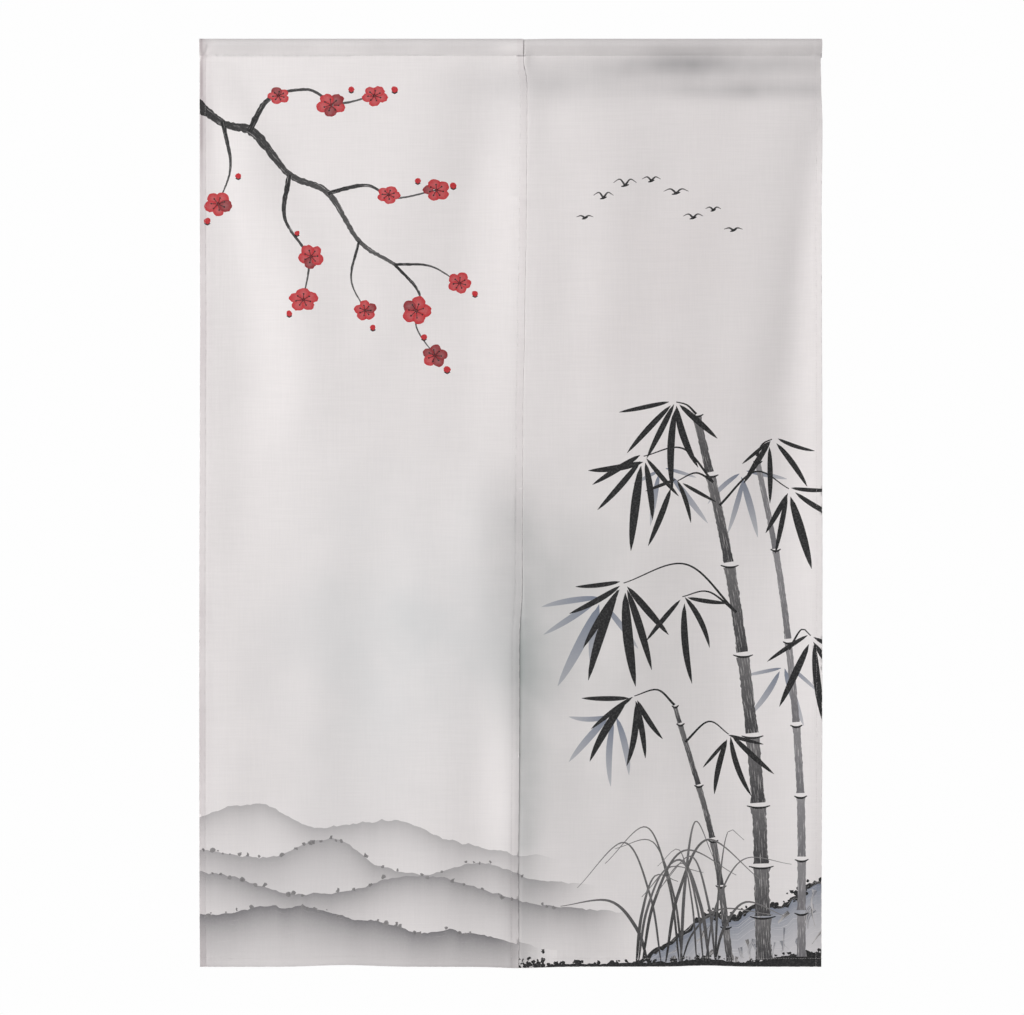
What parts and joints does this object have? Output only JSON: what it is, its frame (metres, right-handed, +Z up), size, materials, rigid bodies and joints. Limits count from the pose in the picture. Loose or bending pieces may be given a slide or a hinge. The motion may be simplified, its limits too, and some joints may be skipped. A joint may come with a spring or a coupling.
{
  "type": "noren curtain",
  "caption": "Split doorway curtain: lapped hanging cloth panels with narrow hems, each with a sewn rod pocket along its top edge.",
  "frame": {"origin": "middle of the curtain's top edge, on the line along which the rod pockets bear on the rod", "axes": "+X runs to the viewer's right along the rod, -Y faces the viewer, +Z is up"},
  "size_m": [0.8054, 0.0153, 1.2018],
  "materials": {
    "cloth": "matte plain-woven polyester-linen, off-white with a faint pink cast, printed on the front in ink greys",
    "thread": "matte sewing thread"
  },
  "bodies": {
    "root": {"panel_left": "cloth", "panel_right": "cloth", "sleeve_left": "cloth", "sleeve_right": "cloth"}
  },
  "joints": []
}
